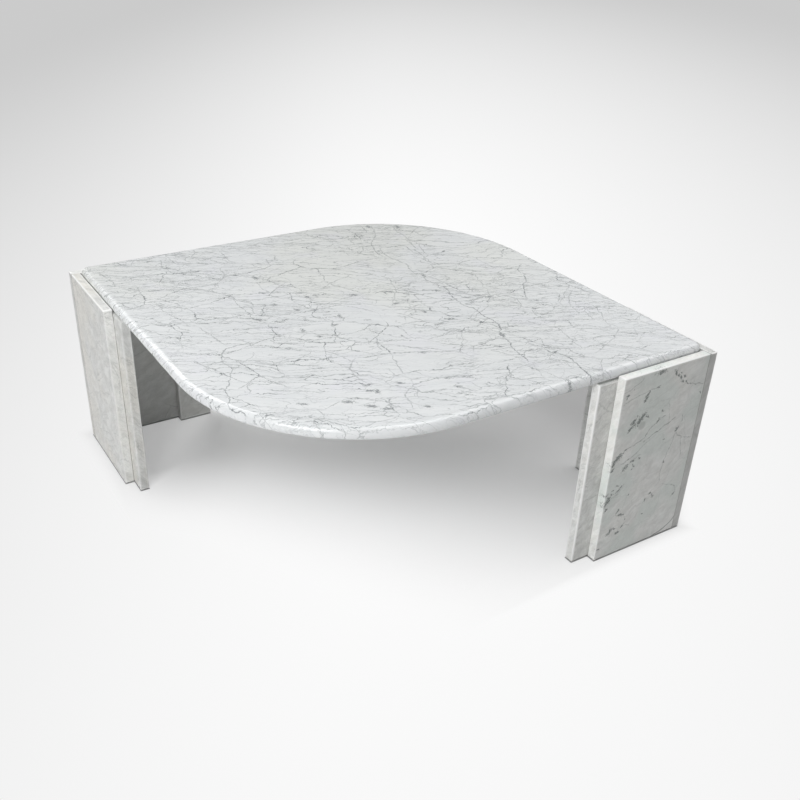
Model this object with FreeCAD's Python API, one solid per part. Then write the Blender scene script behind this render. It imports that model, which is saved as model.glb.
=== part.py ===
import FreeCAD, Part
import math
import os

# Marble coffee table. Seen from above it is a square standing on one corner: two opposite corners
# are pointed (left and right) and two are widely rounded (front and back). A loose top with a round
# edge rests on two corner legs. Each leg is glued up from four upright slabs: two outer slabs in an L,
# which rise past the underside of the top as a low rim, and two narrow inner slabs, which carry it.
# Millimetres. X runs from point to point, Y from front to back, Z up from the floor.

# Whole table
plan_side = 1000.0            # outer face to outer face of the legs, along a side of the plan square
table_height = 445.0          # floor to the face of the top
arris = 1.5                   # flat taken off the sharp edges of the slabs

# Top
top_thickness = 25.0          # its edge is a full half round of this height
round_corner_radius = 365.0
point_core_radius = 2.5       # plan radius of a point where its half round begins
top_clearance = 1.0           # beside the rims

# Legs
slab_thickness = 20.0
outer_slab_length = 250.0     # along the table's side, from the leg's outer corner
rim_height = 10.0             # outer slabs above the seat of the top
inner_slab_width = 80.0
inner_slab_projection = 44.0  # past the free end of the outer slab

# Glue seams, and the pins hidden in the corner joints
glue_thickness = 0.5
pin_diameter = 5.0
pin_clearance = 0.2           # all round the pin
pin_depth_through_slab = 12.0
pin_depth_butt_slab = 20.0
pin_count = 3
pin_end_margin = 65.0         # from the slab's foot or top to the nearest pin

# Pads under the slabs
pad_thickness = 2.0
pad_diameter = 14.0
pad_end_margin = 30.0         # from a slab's end to a pad's centre

# Levels and places that follow
seat_height = table_height - top_thickness
rim_top = seat_height + rim_height
butt_start = slab_thickness + glue_thickness
inner_slab_end = outer_slab_length + inner_slab_projection
inner_slab_start = inner_slab_end - inner_slab_width
corner_reach = plan_side / math.sqrt(2)

# Turns, in degrees
half_turn = 180.0
quarter_turn = 90.0
plan_square_turn = -45.0      # plan square, drawn level with X and Y, to the table's frame
leg_turn = 135.0              # corner frame to the right leg

ORIGIN = FreeCAD.Vector(0, 0, 0)
X_AXIS = FreeCAD.Vector(1, 0, 0)
Y_AXIS = FreeCAD.Vector(0, 1, 0)
Z_AXIS = FreeCAD.Vector(0, 0, 1)


def block(x_span, y_span, z_span):
    """A box between three pairs of limits."""
    low, high = zip(x_span, y_span, z_span)
    sizes = [end - start for start, end in zip(low, high)]
    return Part.makeBox(*sizes, FreeCAD.Vector(*low))


def eased(slab, in_joint):
    """A slab with a flat on each sharp edge, apart from the edges that lie in its joint."""
    edges = [edge for edge in slab.Edges if not in_joint(edge.CenterOfMass)]
    return slab.makeChamfer(arris, edges)


# Legs. They are drawn in a corner frame: the leg's outer corner is at the origin, the through slab
# runs along X and the butt slab along Y. The butt slab's end is glued and pinned to the inner face
# of the through slab. Each inner slab is glued to the inner face of its outer slab.

def corner_pins(radius):
    """Level rods of one radius through the corner joint, where the pins are."""
    length = pin_depth_through_slab + glue_thickness + pin_depth_butt_slab
    depth = slab_thickness - pin_depth_through_slab
    lowest = pad_thickness + pin_end_margin
    step = (rim_top - pin_end_margin - lowest) / (pin_count - 1)
    starts = [FreeCAD.Vector(slab_thickness / 2, depth, lowest + step * i) for i in range(pin_count)]
    return [Part.makeCylinder(radius, length, start, Y_AXIS) for start in starts]


def drilled(shape):
    """A shape less the holes for the pins."""
    return shape.cut(corner_pins(pin_diameter / 2 + pin_clearance))


def through_slab():
    slab = block((0, outer_slab_length), (0, slab_thickness), (pad_thickness, rim_top))

    def in_joint(point):
        return point.x < arris and point.y > slab_thickness - arris
    return drilled(eased(slab, in_joint))


def butt_slab():
    slab = block((0, slab_thickness), (butt_start, outer_slab_length), (pad_thickness, rim_top))

    def in_joint(point):
        return point.y < butt_start + arris
    return drilled(eased(slab, in_joint))


def inner_slab_on_through():
    slab = block((inner_slab_start, inner_slab_end), (butt_start, butt_start + slab_thickness),
                 (pad_thickness, seat_height))
    return eased(slab, lambda point: False)


def corner_seam():
    """Glue between the butt slab's end and the through slab, with the pins through it."""
    seam = block((0, slab_thickness), (slab_thickness, butt_start),
                 (pad_thickness + arris, rim_top - arris))
    return drilled(seam)


def face_seam_on_through():
    """Glue between an inner slab and its outer slab, inside the eased edges of both."""
    return block((inner_slab_start + arris, outer_slab_length - arris), (slab_thickness, butt_start),
                 (pad_thickness + arris, seat_height - arris))


def across_corner(shape):
    """The same piece on the corner's other side, X and Y exchanged."""
    swap = FreeCAD.Vector(1, -1, 0)
    return shape.mirror(ORIGIN, swap)


def floor_pads():
    """Round pads: near both ends of each outer slab, and under the middle of each inner slab."""
    outer_line = slab_thickness / 2
    inner_line = butt_start + slab_thickness / 2
    inner_middle = inner_slab_start + inner_slab_width / 2
    free_end = outer_slab_length - pad_end_margin
    places = [(pad_end_margin, outer_line), (free_end, outer_line), (inner_middle, inner_line),
              (outer_line, butt_start + pad_end_margin), (outer_line, free_end), (inner_line, inner_middle)]
    return [Part.makeCylinder(pad_diameter / 2, pad_thickness, FreeCAD.Vector(x, y, 0)) for x, y in places]


def leg_pieces():
    """Each piece of a leg by name, in the corner frame. The through slab is the back one."""
    return {
        "back_outer_slab": through_slab(),
        "front_outer_slab": butt_slab(),
        "back_inner_slab": inner_slab_on_through(),
        "front_inner_slab": across_corner(inner_slab_on_through()),
        "corner_seam": corner_seam(),
        "back_face_seam": face_seam_on_through(),
        "front_face_seam": across_corner(face_seam_on_through()),
        "corner_pins": Part.makeCompound(corner_pins(pin_diameter / 2)),
        "floor_pads": Part.makeCompound(floor_pads()),
    }


def on_right(piece):
    """A piece moved from the corner frame to the right leg."""
    placed = piece.copy()
    placed.rotate(ORIGIN, Z_AXIS, leg_turn)
    placed.translate(X_AXIS * corner_reach)
    return placed


def on_left(piece):
    """The mirror image of the right leg's piece."""
    return on_right(piece).mirror(ORIGIN, X_AXIS)


# Top. It is drawn in the plan square, level with X and Y, and then turned by an eighth. A flat core
# fills the outline up to where the half round begins, and a half disc swept along it makes the edge.

def plan_direction(angle):
    return FreeCAD.Vector(math.cos(math.radians(angle)), math.sin(math.radians(angle)), 0)


def core_corners():
    """Each corner of the core: the centre, radius and first angle of its arc, going round."""
    edge_radius = top_thickness / 2
    core_half = plan_side / 2 - slab_thickness - top_clearance - edge_radius
    radii = [point_core_radius, round_corner_radius - edge_radius] * 2
    corners = []
    for number, radius in enumerate(radii):
        first = quarter_turn * number
        outward = plan_direction(first) + plan_direction(first + quarter_turn)
        corners.append((outward * (core_half - radius), radius, first))
    return corners


def edge_profile(foot, outward):
    """A half disc that stands on the outline: its flat side over foot, its round side outward."""
    radius = top_thickness / 2
    low = FreeCAD.Vector(foot.x, foot.y, seat_height)
    high = low + Z_AXIS * top_thickness
    belly = low + Z_AXIS * radius + outward * radius
    arc = Part.Arc(low, belly, high).toShape()
    return Part.Face(Part.Wire([arc, Part.makeLine(high, low)]))


def table_top():
    corners = core_corners()
    outline = []
    edges = []
    for number, (centre, radius, first) in enumerate(corners):
        last = first + quarter_turn
        start = centre + plan_direction(first) * radius
        middle = centre + plan_direction(first + quarter_turn / 2) * radius
        end = centre + plan_direction(last) * radius
        next_centre, next_radius, next_first = corners[(number + 1) % len(corners)]
        next_start = next_centre + plan_direction(next_first) * next_radius
        outline += [Part.Arc(start, middle, end).toShape(), Part.makeLine(end, next_start)]
        edges.append(edge_profile(start, plan_direction(first)).revolve(centre, Z_AXIS, quarter_turn))
        edges.append(edge_profile(end, plan_direction(last)).extrude(next_start - end))
    core = Part.Face(Part.Wire(outline)).extrude(Z_AXIS * top_thickness)
    core.translate(Z_AXIS * seat_height)
    top = core.fuse(edges).removeSplitter()
    top.rotate(ORIGIN, Z_AXIS, plan_square_turn)
    return top


def table_nodes():
    """Every piece of the table by its node's name."""
    nodes = {"table_top": table_top()}
    for name, piece in leg_pieces().items():
        nodes["left_leg_" + name] = on_left(piece)
        nodes["right_leg_" + name] = on_right(piece)
    return nodes


os.makedirs("parts", exist_ok=True)
for node_name, node_shape in table_nodes().items():
    node_shape.exportStep("parts/" + node_name + ".step")
    solids = len(node_shape.Solids)
    print(node_name, "solids", solids, "volume", round(node_shape.Volume), "valid", node_shape.isValid())
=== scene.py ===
import math

import bmesh
import bpy
from mathutils import Matrix, Vector, noise


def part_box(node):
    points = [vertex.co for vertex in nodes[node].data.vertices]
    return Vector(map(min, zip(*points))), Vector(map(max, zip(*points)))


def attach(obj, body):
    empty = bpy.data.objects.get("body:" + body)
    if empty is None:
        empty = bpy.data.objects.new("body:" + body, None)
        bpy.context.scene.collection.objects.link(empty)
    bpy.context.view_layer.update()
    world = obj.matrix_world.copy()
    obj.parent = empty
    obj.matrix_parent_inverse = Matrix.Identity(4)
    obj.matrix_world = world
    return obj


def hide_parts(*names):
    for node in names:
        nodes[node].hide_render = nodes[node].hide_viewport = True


# Marble coffee table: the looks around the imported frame. Metres, in the frame's own axes.

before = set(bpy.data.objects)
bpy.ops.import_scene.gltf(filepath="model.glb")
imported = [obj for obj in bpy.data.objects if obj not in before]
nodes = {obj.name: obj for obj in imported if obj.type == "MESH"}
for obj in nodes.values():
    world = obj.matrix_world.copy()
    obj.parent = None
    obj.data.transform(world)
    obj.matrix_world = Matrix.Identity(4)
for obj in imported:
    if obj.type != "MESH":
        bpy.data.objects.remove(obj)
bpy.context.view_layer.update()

mm = 0.001                            # veins and spots are listed in millimetres
UP = Vector((0, 0, 1))

# Shape of the top. Its other sizes come from the frame.
round_corner_radius = 0.365
point_radius = 0.015
arc_step = math.radians(1.5)          # plan turn from one outline point to the next on the round corners
point_arc_step = math.radians(9)
outline_step = 0.012                  # along the straight sides
edge_profile_steps = 20               # round the half circle of the edge
flat_rings = 30                       # from the edge to the middle of the flat
close_ring_shares = [0.9985, 0.994]   # two more rings of the flat, close to its edge

# Shape of the slabs
arris_radius = 0.0017
arris_unevenness = 0.45               # share of the arris radius
arris_swells = 45                     # scale of the noise that swells and thins an arris
arris_chips = 160                     # scale of the noise that chips it
arris_chip_share = 0.5                # chips as a share of the swells
arris_bend_share = 0.55               # of the radius, to a mesh line within the arris
on_arris = arris_radius * 1.01        # points of an arris lie within this of two faces
amid_arris = arris_radius * 0.9       # and those along its middle within this
joint_arris_radius = 0.0004           # where a slab's edge is glued into a joint
worn_margin = 0.0028                  # beside an arris, where its pale wear fades into the face
face_step = 0.018

# How far an arris is painted white: wear from knocks, and partly a painted highlight where the arrises catch
# the light
upright_arris_wear_and_highlight = 0.35
white_slab = "right_leg_front_inner_slab"   # its upright arrises have gone quite white
rim_wear_and_highlight = 1.0                        # along the tops of the outer slabs: wear, and a painted highlight along the rims
foot_wear = {"left": 0.8, "right": 0.0}

# The block of stone that the slabs were sawn from
slab_spacing = 0.43                   # from one slab of a leg to the next
leg_spacing = 2.0                     # to each side, for the stone of the two legs
block_spread = 3                      # how far apart the slabs take the noise of their arrises

# Shape of the pads
pad_segments = 40
pad_round = 0.0005
pad_fuzz = 0.00015                    # how far the rim is uneven
pad_fibres = 900                      # scale of the noise of that fuzz
pad_separation = 0.02                 # points of the pads' CAD node nearer than this are of one pad


def span(low, high, step):
    """Even values from low to high, both included, no more than a step apart."""
    count = max(1, math.ceil((high - low) / step))
    return [low + (high - low) * i / count for i in range(count + 1)]


def box_of(points):
    """Lowest and highest corners of the box round some points."""
    along_axes = list(zip(*points))
    return Vector([min(values) for values in along_axes]), Vector([max(values) for values in along_axes])


def skin(shape, rings):
    """Quads between rings of points that follow one another, and a face over the first and the last."""
    made = [[shape.verts.new(point) for point in ring] for ring in rings]
    for lower, upper in zip(made, made[1:]):
        for i in range(len(lower)):
            following = (i + 1) % len(lower)
            shape.faces.new((lower[i], lower[following], upper[following], upper[i]))
    shape.faces.new(made[0][::-1])
    shape.faces.new(made[-1])


def finished_mesh(shape, name):
    mesh = bpy.data.meshes.new(name)
    shape.to_mesh(mesh)
    shape.free()
    return mesh


def smooth_object(name, mesh, body, slot, *replaced):
    """A finished mesh as a piece that rides on a body and stands for CAD nodes."""
    for face in mesh.polygons:
        face.use_smooth = True
    piece = bpy.data.objects.new(name, mesh)
    bpy.context.scene.collection.objects.link(piece)
    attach(piece, body)
    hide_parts(*replaced)
    return piece


# Top: one slab with a full half round along its edge.

def plan_direction(turn):
    return Vector((math.cos(turn), math.sin(turn)))


def top_outline(half_side, inset):
    """Points round the top's plan, moved inward by an inset: a square on one corner, two corners round."""
    quarter_turn = math.radians(90)
    side_length = 2 * half_side - point_radius - round_corner_radius
    points = []
    for quarter in range(4):
        is_point = quarter % 2 == 0
        radius = (point_radius if is_point else round_corner_radius) - inset
        first = math.radians(90 * quarter)
        last = first + quarter_turn
        outward = plan_direction(first) + plan_direction(last)
        centre = outward * (half_side - inset - radius)
        turns = span(first, last, point_arc_step if is_point else arc_step)
        points += [centre + radius * plan_direction(turn) for turn in turns]
        end = points[-1]
        along = plan_direction(last + quarter_turn)
        points += [end + along * run for run in span(0, side_length, outline_step)[1:-1]]
    eighth = Matrix.Rotation(math.radians(-45), 2)
    return [eighth @ point for point in points]


def top_mesh(low, high):
    """The top's mesh, from the box of its CAD node."""
    edge_radius = (high.z - low.z) / 2
    middle = (high.z + low.z) / 2
    half_side = (high.y - round_corner_radius) / math.sqrt(2) + round_corner_radius
    flat = top_outline(half_side, edge_radius)
    shares = sorted([1 - ring / flat_rings for ring in range(1, flat_rings)] + close_ring_shares)

    def flat_rings_at(height):
        return [[(point * share).to_3d() + UP * height for point in flat] for share in shares]

    rings = flat_rings_at(low.z)
    for turn in span(-math.pi / 2, math.pi / 2, math.pi / edge_profile_steps):
        outline = top_outline(half_side, edge_radius * (1 - math.cos(turn)))
        height = middle + edge_radius * math.sin(turn)
        rings.append([point.to_3d() + UP * height for point in outline])
    rings += flat_rings_at(high.z)[::-1]
    shape = bmesh.new()
    skin(shape, rings)
    return finished_mesh(shape, "marble_top")


def add_top():
    mesh = top_mesh(*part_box("table_top"))
    return smooth_object("marble_top", mesh, "top", "top_marble", "table_top")


# How far a slab is paler than the rest, or darker if below nought: on its end face and on the others. This is
# partly the stone's own tone and partly painted light and shade, where the lamps light those faces unevenly
slab_tones_and_painted_light = {
    "left_leg_back_outer_slab": (-0.28, -0.40),
    "left_leg_back_inner_slab": (-0.40, -0.40),
    "left_leg_front_outer_slab": (0.12, 0.08),
    "left_leg_front_inner_slab": (-0.34, 0.20),
    "right_leg_back_outer_slab": (-0.80, 0.0),
    "right_leg_front_inner_slab": (0.35, -0.25),
    "right_leg_front_outer_slab": (1.0, -0.15),
}
# Painted light on top of the outer slabs, which face the lamps above: how far paler, as above
rim_painted_light = {
    "left_leg_back_outer_slab": 0.7,
    "left_leg_front_outer_slab": 0.1,
    "right_leg_back_outer_slab": 0.0,
    "right_leg_front_outer_slab": 1.0,
}
far_arris_painted_shade = -1.5                 # painted shade: a darker line along the outside of the back rims
gap_painted_light_and_shade = {"left": 1.0, "right": -1.0}   # on the rims' arrises that face the top: painted light on the left, painted shade on the right


# Legs. Each leg has a corner frame: its outer corner at the origin, x along the back slab, y along
# the front slab. The legs are mirror images, so the left one has its X turned round.

leg_side = {"left": -1, "right": 1}
diagonal = math.sqrt(0.5)
# Distance of the legs' outer corners from the middle of the table
corner_reach = max(vertex.co.x + vertex.co.y for vertex in nodes["right_leg_back_outer_slab"].data.vertices)


def to_corner(point, side):
    """A point of the table in a leg's corner frame."""
    across = corner_reach - side * point.x
    return Vector(((across + point.y) * diagonal, (across - point.y) * diagonal, point.z))


def from_corner(point, side):
    """A point of a leg's corner frame on the table."""
    across = (point.x + point.y) * diagonal
    return Vector((side * (corner_reach - across), (point.x - point.y) * diagonal, point.z))


def corner_box(node, side):
    """Lowest and highest corners of a CAD node in its leg's corner frame."""
    return box_of([to_corner(vertex.co, side) for vertex in nodes[node].data.vertices])


def stations(low, high):
    """Places of the mesh lines across a slab: close together at both arrises."""
    near = [0, arris_radius * arris_bend_share, arris_radius, arris_radius + worn_margin]
    start = [low + gap for gap in near]
    end = [high - gap for gap in reversed(near)]
    return start + span(start[-1], end[0], face_step)[1:-1] + end


def slab_surface(low, high):
    """Points and quads of a box's surface, with mesh lines at the stations."""
    lines = [stations(low[axis], high[axis]) for axis in range(3)]
    last = [len(line) - 1 for line in lines]
    index = {}
    points = []
    quads = []

    def corner(key):
        if key not in index:
            index[key] = len(points)
            points.append(Vector([lines[axis][key[axis]] for axis in range(3)]))
        return index[key]

    for axis in range(3):
        first, second = (axis + 1) % 3, (axis + 2) % 3
        for end in (0, last[axis]):
            for i in range(last[first]):
                for j in range(last[second]):
                    quad = []
                    for step_i, step_j in ((0, 0), (1, 0), (1, 1), (0, 1)):
                        key = [0, 0, 0]
                        key[axis] = end
                        key[first] = i + step_i
                        key[second] = j + step_j
                        quad.append(corner(tuple(key)))
                    quads.append(quad if end else quad[::-1])
    return points, quads


def rounded(point, low, high, radius):
    """A point of a box's surface moved onto the rounded edges of that radius."""
    inner = Vector([min(max(point[axis], low[axis] + radius), high[axis] - radius) for axis in range(3)])
    return inner + (point - inner).normalized() * radius


def by_the_gap(point, high, node):
    """Whether a point lies on a rim's upper inner arris, which faces the edge of the top."""
    inner = high.y - point.y if "back" in node else high.x - point.x
    return "outer" in node and max(inner, high.z - point.z) < amid_arris


def on_far_arris(point, low, high, node):
    """Whether a point lies on a back rim's upper outer arris."""
    return "back_outer" in node and max(point.y - low.y, high.z - point.z) < amid_arris


def arris_wear_and_highlight(point, low, high, node):
    """How white a point of a slab is painted, for wear from knocks and partly for a painted highlight: nought
    off the arrises.
    """
    gaps = sorted(min(point[axis] - low[axis], high[axis] - point[axis]) for axis in range(3))
    if gaps[1] > on_arris:
        return 0.0
    if by_the_gap(point, high, node) or on_far_arris(point, low, high, node):
        return 0.0
    if high.z - point.z < arris_radius:
        return rim_wear_and_highlight if "outer" in node else 0.0
    if point.z - low.z < arris_radius:
        return foot_wear[node.split("_")[0]]
    return 1.0 if node == white_slab else upright_arris_wear_and_highlight


def stone_tone_and_painted_light(point, low, high, node):
    """A slab's tone: the stone's own, with painted light and shade on rim tops, on end faces and along the
    rims' arrises. The back outer slab's end face is the one at the corner, the others' at the free end.
    """
    if by_the_gap(point, high, node):
        return gap_painted_light_and_shade[node.split("_")[0]]
    if on_far_arris(point, low, high, node):
        return far_arris_painted_shade
    if "outer" in node and point.z == high.z:
        return rim_painted_light[node]
    on_end = point.x == low.x if node.endswith("back_outer_slab") else point.y == high.y
    end, rest = slab_tones_and_painted_light.get(node, (0.0, 0.0))
    return end if on_end else rest


def uneven_radius(point, block_place):
    """The radius of a hand-eased arris at one of its points."""
    swell = noise.noise(point * arris_swells + block_place * block_spread)
    chip = noise.noise(point * arris_chips)
    return arris_radius * (1 + arris_unevenness * (swell + arris_chip_share * chip))


def block_point(point, node, side):
    """Place in the block: along the slab from its corner, up, and through its thickness."""
    along, through = (point.x, point.y) if "back" in node else (point.y, point.x)
    return Vector((side * along, point.z, through))


def slab_mesh(node, low, high, side, in_joint, block_place):
    """A slab with hand-eased arrises, and its place in the block of stone that it was sawn from."""
    points, quads = slab_surface(low, high)
    moved = []
    places = []
    worn_and_highlit = []
    tones = []
    for point in points:
        joined = in_joint(point, low, high)
        radius = joint_arris_radius if joined else uneven_radius(point, block_place)
        moved.append(from_corner(rounded(point, low, high, radius), side))
        places.extend(block_point(point, node, side) + block_place)
        worn_and_highlit.append(0.0 if joined else arris_wear_and_highlight(point, low, high, node))
        tones.append(stone_tone_and_painted_light(point, low, high, node))
    mesh = bpy.data.meshes.new("marble_" + node)
    mesh.from_pydata(moved, [], quads)
    mesh.attributes.new("stone", "FLOAT_VECTOR", "POINT").data.foreach_set("vector", places)
    for name, values in (("worn_and_highlit", worn_and_highlit), ("tone", tones)):
        mesh.attributes.new(name, "FLOAT", "POINT").data.foreach_set("value", values)
    shape = bmesh.new()
    shape.from_mesh(mesh)
    bmesh.ops.recalc_face_normals(shape, faces=shape.faces)
    shape.to_mesh(mesh)
    shape.free()
    return mesh


def through_joint(point, low, high):
    return point.x - low.x < on_arris and high.y - point.y < on_arris


def butt_joint(point, low, high):
    return point.y - low.y < on_arris


def no_joint(point, low, high):
    return False


slab_joints = {
    "back_outer_slab": through_joint,
    "front_outer_slab": butt_joint,
    "back_inner_slab": no_joint,
    "front_inner_slab": no_joint,
}


def slab_block_place(leg, part):
    """Where a slab lay in the block of stone, so that no two slabs have the same veins."""
    side = leg_side[leg]
    return Vector((side, 0, slab_spacing * list(slab_joints).index(part) + leg_spacing * side))


def add_slabs():
    slabs = []
    for leg, side in leg_side.items():
        for part, in_joint in slab_joints.items():
            node = leg + "_leg_" + part
            low, high = corner_box(node, side)
            mesh = slab_mesh(node, low, high, side, in_joint, slab_block_place(leg, part))
            slabs.append(smooth_object("marble_" + node, mesh, "legs", "leg_marble", node))
    return slabs


def pad_mesh(name, centres, radius, height):
    """Felt discs with a soft rim."""
    profile = [(radius - pad_round, 0.0), (radius, pad_round), (radius, height - pad_round),
               (radius - pad_round, height)]
    turns = [math.tau * i / pad_segments for i in range(pad_segments)]
    shape = bmesh.new()
    for centre in centres:
        rings = []
        for reach, level in profile:
            ring = []
            for turn in turns:
                outward = plan_direction(turn).to_3d()
                point = centre + outward * reach + UP * level
                ring.append(point + outward * min(pad_fuzz * noise.noise(point * pad_fibres), 0))
            rings.append(ring)
        skin(shape, rings)
    return finished_mesh(shape, name)


def pad_boxes(node):
    """Boxes of the separate pads of a CAD node."""
    groups = []
    for vertex in nodes[node].data.vertices:
        near = [group for group in groups if (group[0] - vertex.co).length < pad_separation]
        if near:
            near[0].append(vertex.co.copy())
        else:
            groups.append([vertex.co.copy()])
    return sorted(map(box_of, groups), key=lambda pair: (round(pair[0].x, 4), round(pair[0].y, 4)))


def add_pads():
    pads = []
    for leg in leg_side:
        node = leg + "_leg_floor_pads"
        discs = pad_boxes(node)
        centres = [((low + high) / 2).to_2d().to_3d() for low, high in discs]
        low, high = discs[0]
        mesh = pad_mesh("felt_" + node, centres, (high.x - low.x) / 2, high.z - low.z)
        pads.append(smooth_object("felt_" + node, mesh, "legs", "pad_felt", node))
    return pads


# Materials

class Graph:
    """One material's nodes, linked as they are added."""

    def __init__(self, name):
        self.material = bpy.data.materials.new(name)
        self.material.use_nodes = True
        self.tree = self.material.node_tree
        self.shader = self.tree.nodes["Principled BSDF"]

    def feed(self, socket, value):
        if isinstance(value, bpy.types.NodeSocket):
            self.tree.links.new(value, socket)
        else:
            socket.default_value = value

    def node(self, kind, inputs, **settings):
        node = self.tree.nodes.new(kind)
        for key, value in settings.items():
            setattr(node, key, value)
        for socket, value in inputs.items():
            self.feed(node.inputs[socket], value)
        return node

    def look(self, values):
        """Inputs of the surface's shader, by name."""
        for name, value in values.items():
            self.feed(self.shader.inputs[name], value)

    def bump(self, height, strength, distance):
        inputs = {"Height": height, "Strength": strength, "Distance": distance}
        self.look({"Normal": self.node("ShaderNodeBump", inputs).outputs[0]})

    def math(self, operation, *values):
        return self.node("ShaderNodeMath", dict(enumerate(values)), operation=operation).outputs[0]

    def chain(self, operation, amounts):
        """One operation over several amounts, from the first to the last."""
        result = amounts[0]
        for amount in amounts[1:]:
            result = self.math(operation, result, amount)
        return result

    def product(self, *amounts):
        return self.chain("MULTIPLY", amounts)

    def total(self, *amounts):
        return self.chain("ADD", amounts)

    def most(self, *amounts):
        return self.chain("MAXIMUM", amounts)

    def minus(self, first, second):
        return self.math("SUBTRACT", first, second)

    def magnitude(self, value):
        return self.math("ABSOLUTE", value)

    def vector_math(self, operation, *values, output=0):
        node = self.node("ShaderNodeVectorMath", dict(enumerate(values)), operation=operation)
        return node.outputs[output]

    def scaled(self, vector, amount):
        return self.node("ShaderNodeVectorMath", {0: vector, "Scale": amount}, operation="SCALE").outputs[0]

    def distance(self, place, centre):
        return self.vector_math("DISTANCE", place, centre, output="Value")

    def object_place(self):
        return self.node("ShaderNodeTexCoord", {}).outputs["Object"]

    def attribute(self, name, output):
        return self.node("ShaderNodeAttribute", {}, attribute_name=name).outputs[output]

    def axes(self, place):
        return self.node("ShaderNodeSeparateXYZ", {0: place}).outputs

    def mapped(self, place, turn=0.0, shift=(0, 0, 0), scale=(1, 1, 1)):
        inputs = {"Vector": place, "Rotation": (0, 0, turn), "Location": shift, "Scale": scale}
        return self.node("ShaderNodeMapping", inputs).outputs[0]

    def fitted(self, place, centre, turn, size):
        """A place as seen from a frame of its own: from its centre, along its axes, in its sizes."""
        inputs = {"Vector": place, "Rotation": (0, 0, turn), "Location": (*centre, 0), "Scale": (*size, 1)}
        return self.node("ShaderNodeMapping", inputs, vector_type="TEXTURE").outputs[0]

    def noise(self, place, scale, detail=4.0, rough=0.5, output="Fac"):
        inputs = {"Vector": place, "Scale": scale, "Detail": detail, "Roughness": rough}
        return self.node("ShaderNodeTexNoise", inputs).outputs[output]

    def cell_edge(self, place):
        settings = {"feature": "DISTANCE_TO_EDGE", "voronoi_dimensions": "2D"}
        node = self.node("ShaderNodeTexVoronoi", {"Vector": place, "Scale": 1.0}, **settings)
        return node.outputs["Distance"]

    def ramp(self, value, start, end, low=0.0, high=1.0):
        """From low to high while value goes from start to end, eased at both ends."""
        inputs = {"Value": value, "From Min": start, "From Max": end, "To Min": low, "To Max": high}
        return self.node("ShaderNodeMapRange", inputs, interpolation_type="SMOOTHSTEP").outputs[0]

    def mix(self, share, first, second):
        """Between two colours."""
        return self.node("ShaderNodeMix", {0: share, 6: first, 7: second}, data_type="RGBA").outputs[2]


def grey(tone):
    return (tone, tone, tone, 1)


def leaned(graph, place, lean):
    """A place moved along its first two axes with its third, so that veins go through the stone aslant."""
    third = graph.axes(place)[2]
    moved = graph.node("ShaderNodeCombineXYZ", {0: third, 1: third}).outputs[0]
    return graph.vector_math("ADD", place, graph.vector_math("MULTIPLY", moved, (*lean, 0)))


noise_middle = (0.5, 0.5, 0.5)


def displaced(graph, place, *bends):
    """A place pushed about by noises, each with its scale and reach, so that lines drawn there wander."""
    for scale, reach in bends:
        push = graph.noise(place, scale, detail=5.0, rough=0.55, output="Color")
        centred = graph.vector_math("SUBTRACT", push, noise_middle)
        place = graph.vector_math("ADD", place, graph.scaled(centred, reach))
    return place


def patches(graph, place, shift, scale, start, end, low=0.0, high=1.0, detail=2.0):
    """Soft patches: from low to high while a noise of the shifted place goes from start to end."""
    level = graph.noise(graph.mapped(place, shift=shift), scale, detail=detail)
    return graph.ramp(level, start, end, low, high)


line_probe = 0.0002                   # step over which the slope of a vein's field is taken
least_slope = 0.001
streak_levels = 8.0                   # times that streaks repeat while their slow noise goes from 0 to 1
streak_swing = 0.5


def even_lines(graph, field, place, width):
    """Lines where a field of the place is nought, equally wide whichever way they run."""
    here = field(place)
    slopes = []
    for step in ((line_probe, 0, 0), (0, line_probe, 0)):
        aside = field(graph.vector_math("ADD", place, step))
        slopes.append(graph.math("DIVIDE", graph.minus(aside, here), line_probe))
    steepness = graph.math("SQRT", graph.total(*[graph.product(slope, slope) for slope in slopes]))
    distance = graph.math("DIVIDE", graph.magnitude(here), graph.most(steepness, least_slope))
    return graph.ramp(graph.math("DIVIDE", distance, width), 0.0, 1.0, 1.0, 0.0)


def cell_lines(graph, field, place, turn, cell, width):
    """Lines of a field over cells, which lie along X turned by an angle and have a length and a breadth."""
    turned = graph.mapped(place, turn=-turn)

    def in_cells(spot):
        return field(graph.mapped(spot, scale=(1 / cell[0], 1 / cell[1], 1)))
    return even_lines(graph, in_cells, turned, width)


def net(graph, place, *style):
    """A net of thin veins."""
    return cell_lines(graph, graph.cell_edge, place, *style)


def streaks(graph, place, *style):
    """Long thin veins side by side, that meet and part: level lines of a slow noise."""
    def level(spot):
        drift = graph.noise(spot, scale=0.5, detail=3.0, rough=0.45)
        swing = graph.math("PINGPONG", graph.product(drift, streak_levels), streak_swing)
        return graph.minus(swing, streak_swing / 2)
    return cell_lines(graph, level, place, *style)


def fine_veins(graph, layers, places, wander, spread, everywhere):
    """Layers of fine veins. Each shows in patches of its own, and by a share everywhere."""
    made = []
    for kind, shift, turn, cell, width, shown_patches, amount in layers:
        shifted = graph.mapped(places[kind], shift=shift)
        lines = kind(graph, shifted, math.radians(turn), cell, graph.product(spread, width))
        shown = graph.most(everywhere, patches(graph, wander, shift, *shown_patches))
        made.append(graph.product(lines, shown, amount))
    return made


vein_slack = 0.001                    # added to the reach of a vein's curve
vein_end_share = 0.04                 # of a vein's length, over which each end fades


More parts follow.
